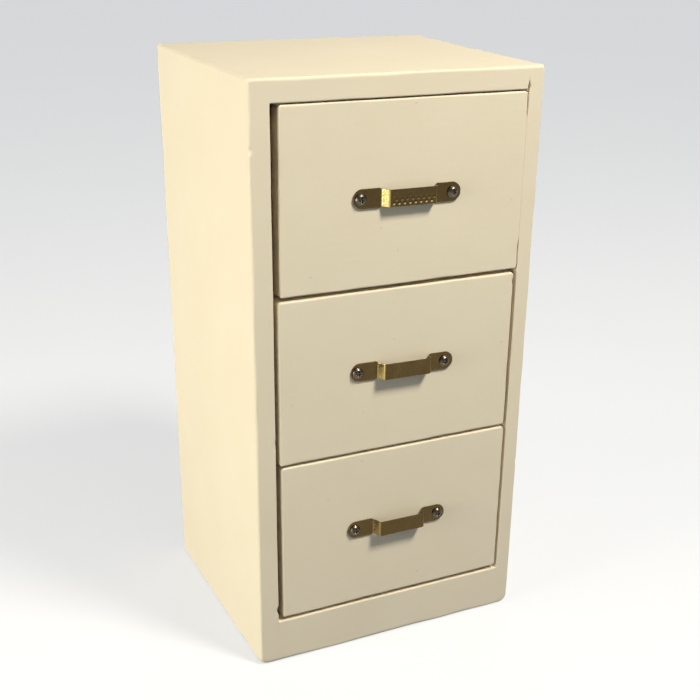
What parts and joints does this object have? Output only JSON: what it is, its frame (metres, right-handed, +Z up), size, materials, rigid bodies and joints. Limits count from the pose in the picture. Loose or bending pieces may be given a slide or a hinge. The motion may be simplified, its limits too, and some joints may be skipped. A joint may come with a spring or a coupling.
{
  "type": "miniature chest of drawers",
  "caption": "Narrow upright dolls' house chest in cream-painted board, with stacked sliding drawers and small brass strap pulls held by round-head screws.",
  "frame": {"origin": "on the floor, under the middle of the object's whole outline, pulls included", "axes": "+Z up, +Y from the drawer fronts to the back, +X to the right of somebody facing the drawers"},
  "size_m": [0.0404, 0.0368, 0.08],
  "materials": {
    "cream_painted_wood": "cream satin paint on wood",
    "bare_wood": "bare, fine-sawn",
    "aged_brass": "aged, stamped with small raised dots",
    "nickel_screws": "dull nickel plate"
  },
  "bodies": {
    "carcass": {"side_panel_left": "cream_painted_wood", "side_panel_right": "cream_painted_wood", "top_panel": "cream_painted_wood", "plinth_rail": "cream_painted_wood", "back_panel": "bare_wood", "floor_panel": "bare_wood", "divider_lower": "bare_wood", "divider_upper": "bare_wood"},
    "top_drawer": {"top_drawer_front": "cream_painted_wood", "top_drawer_side_left": "bare_wood", "top_drawer_side_right": "bare_wood", "top_drawer_back": "bare_wood", "top_drawer_base": "bare_wood", "top_drawer_pull": "aged_brass", "top_drawer_screw_left": "nickel_screws", "top_drawer_screw_right": "nickel_screws"},
    "middle_drawer": {"middle_drawer_front": "cream_painted_wood", "middle_drawer_side_left": "bare_wood", "middle_drawer_side_right": "bare_wood", "middle_drawer_back": "bare_wood", "middle_drawer_base": "bare_wood", "middle_drawer_pull": "aged_brass", "middle_drawer_screw_left": "nickel_screws", "middle_drawer_screw_right": "nickel_screws"},
    "bottom_drawer": {"bottom_drawer_front": "cream_painted_wood", "bottom_drawer_side_left": "bare_wood", "bottom_drawer_side_right": "bare_wood", "bottom_drawer_back": "bare_wood", "bottom_drawer_base": "bare_wood", "bottom_drawer_pull": "aged_brass", "bottom_drawer_screw_left": "nickel_screws", "bottom_drawer_screw_right": "nickel_screws"}
  },
  "joints": [
    {"name": "top_drawer_slide", "type": "slide", "parent": "carcass", "child": "top_drawer", "axis": [0, -1, 0], "range_m": [0, 0.026]},
    {"name": "middle_drawer_slide", "type": "slide", "parent": "carcass", "child": "middle_drawer", "axis": [0, -1, 0], "range_m": [0, 0.026]},
    {"name": "bottom_drawer_slide", "type": "slide", "parent": "carcass", "child": "bottom_drawer", "axis": [0, -1, 0], "range_m": [0, 0.026]}
  ]
}
